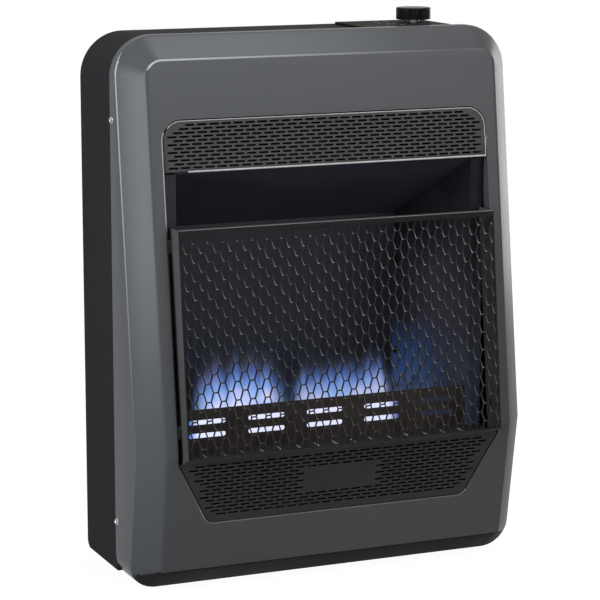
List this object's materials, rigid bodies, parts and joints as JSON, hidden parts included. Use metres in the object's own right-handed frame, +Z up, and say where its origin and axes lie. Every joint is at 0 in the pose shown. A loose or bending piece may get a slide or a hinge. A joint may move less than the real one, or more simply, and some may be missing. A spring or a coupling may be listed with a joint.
{
  "type": "ventless gas heater",
  "caption": "Upright blue-flame ventless gas heater with a bevelled metal front cover, expanded-metal guard, slotted grilles, firebox, burner and top control knob.",
  "frame": {"origin": "bottom centre of the whole heater's box, on the floor", "axes": "+Z up, +X to the right of someone facing the heater, front towards -Y"},
  "size_m": [0.4744, 0.2218, 0.6277],
  "materials": {
    "cover_paint": "satin metallic charcoal paint",
    "case_paint": "satin black paint",
    "grille_paint": "satin dark grey paint",
    "guard_steel": "dark paint, worn bright on the edges",
    "firebox_enamel": "dark heat-proof enamel",
    "shield_steel": "heat-browned sheet",
    "plain_steel": "plain zinc-plated sheet",
    "burner_steel": "heat-dulled steel",
    "screw_steel": "bright plated",
    "brass_fitting": "machined brass",
    "gas_aluminium": "cast and drawn aluminium",
    "foot_rubber": "moulded rubber",
    "knob_plastic": "satin black moulding",
    "plate_plastic": "satin black moulding",
    "lead_sleeve": "black lead sleeve",
    "ceramic": "glazed white"
  },
  "bodies": {
    "cabinet": {"front_cover": "cover_paint", "cover_screws": "screw_steel", "casing_wrap": "case_paint", "back_panel": "case_paint", "back_screws": "screw_steel", "base_pan": "case_paint", "rear_feet": "foot_rubber", "upper_grille": "grille_paint", "lower_grille": "grille_paint", "guard_mesh": "guard_steel", "guard_frame": "guard_steel", "guard_screws": "screw_steel", "firebox_back": "firebox_enamel", "firebox_side_left": "firebox_enamel", "firebox_side_right": "firebox_enamel", "firebox_hood": "firebox_enamel", "firebox_floor": "firebox_enamel", "firebox_screws": "screw_steel", "firebox_support_right": "plain_steel", "firebox_support_left": "plain_steel", "burner_shield": "shield_steel", "burner_tube": "burner_steel", "burner_saddles": "burner_steel", "air_shutter": "plain_steel", "injector": "brass_fitting", "injector_bracket": "plain_steel", "manifold_tube": "gas_aluminium", "supply_tube": "gas_aluminium", "pilot_tube": "gas_aluminium", "tube_nuts": "brass_fitting", "thermocouple_lead": "brass_fitting", "ignition_lead": "lead_sleeve", "capillary_tube": "brass_fitting", "pressure_regulator": "gas_aluminium", "regulator_bracket": "plain_steel", "inlet_fitting": "brass_fitting", "sensing_bulb": "brass_fitting", "bulb_clips": "plain_steel", "gas_valve": "gas_aluminium", "valve_bracket": "plain_steel", "valve_nut": "brass_fitting", "knob_spring": "plain_steel", "control_plate": "plate_plastic", "pilot_bracket": "plain_steel", "pilot_burner": "brass_fitting", "thermocouple": "plain_steel", "electrode_insulator": "ceramic", "spark_electrode": "plain_steel"},
    "valve_rotor": {"valve_rotor": "brass_fitting"},
    "control_knob": {"control_knob": "knob_plastic", "valve_stem": "plain_steel"}
  },
  "joints": [
    {"name": "knob_turn", "type": "hinge", "parent": "cabinet", "child": "valve_rotor", "pos_m": [0.156, 0.0589, 0.6], "axis": [0, 0, 1], "range_deg": [0, 250]},
    {"name": "knob_push", "type": "slide", "parent": "valve_rotor", "child": "control_knob", "axis": [0, 0, -1], "range_m": [0, 0.003], "stiffness_N_per_m": 800, "springref_m": -0.005, "deforming": ["knob_spring"]}
  ]
}
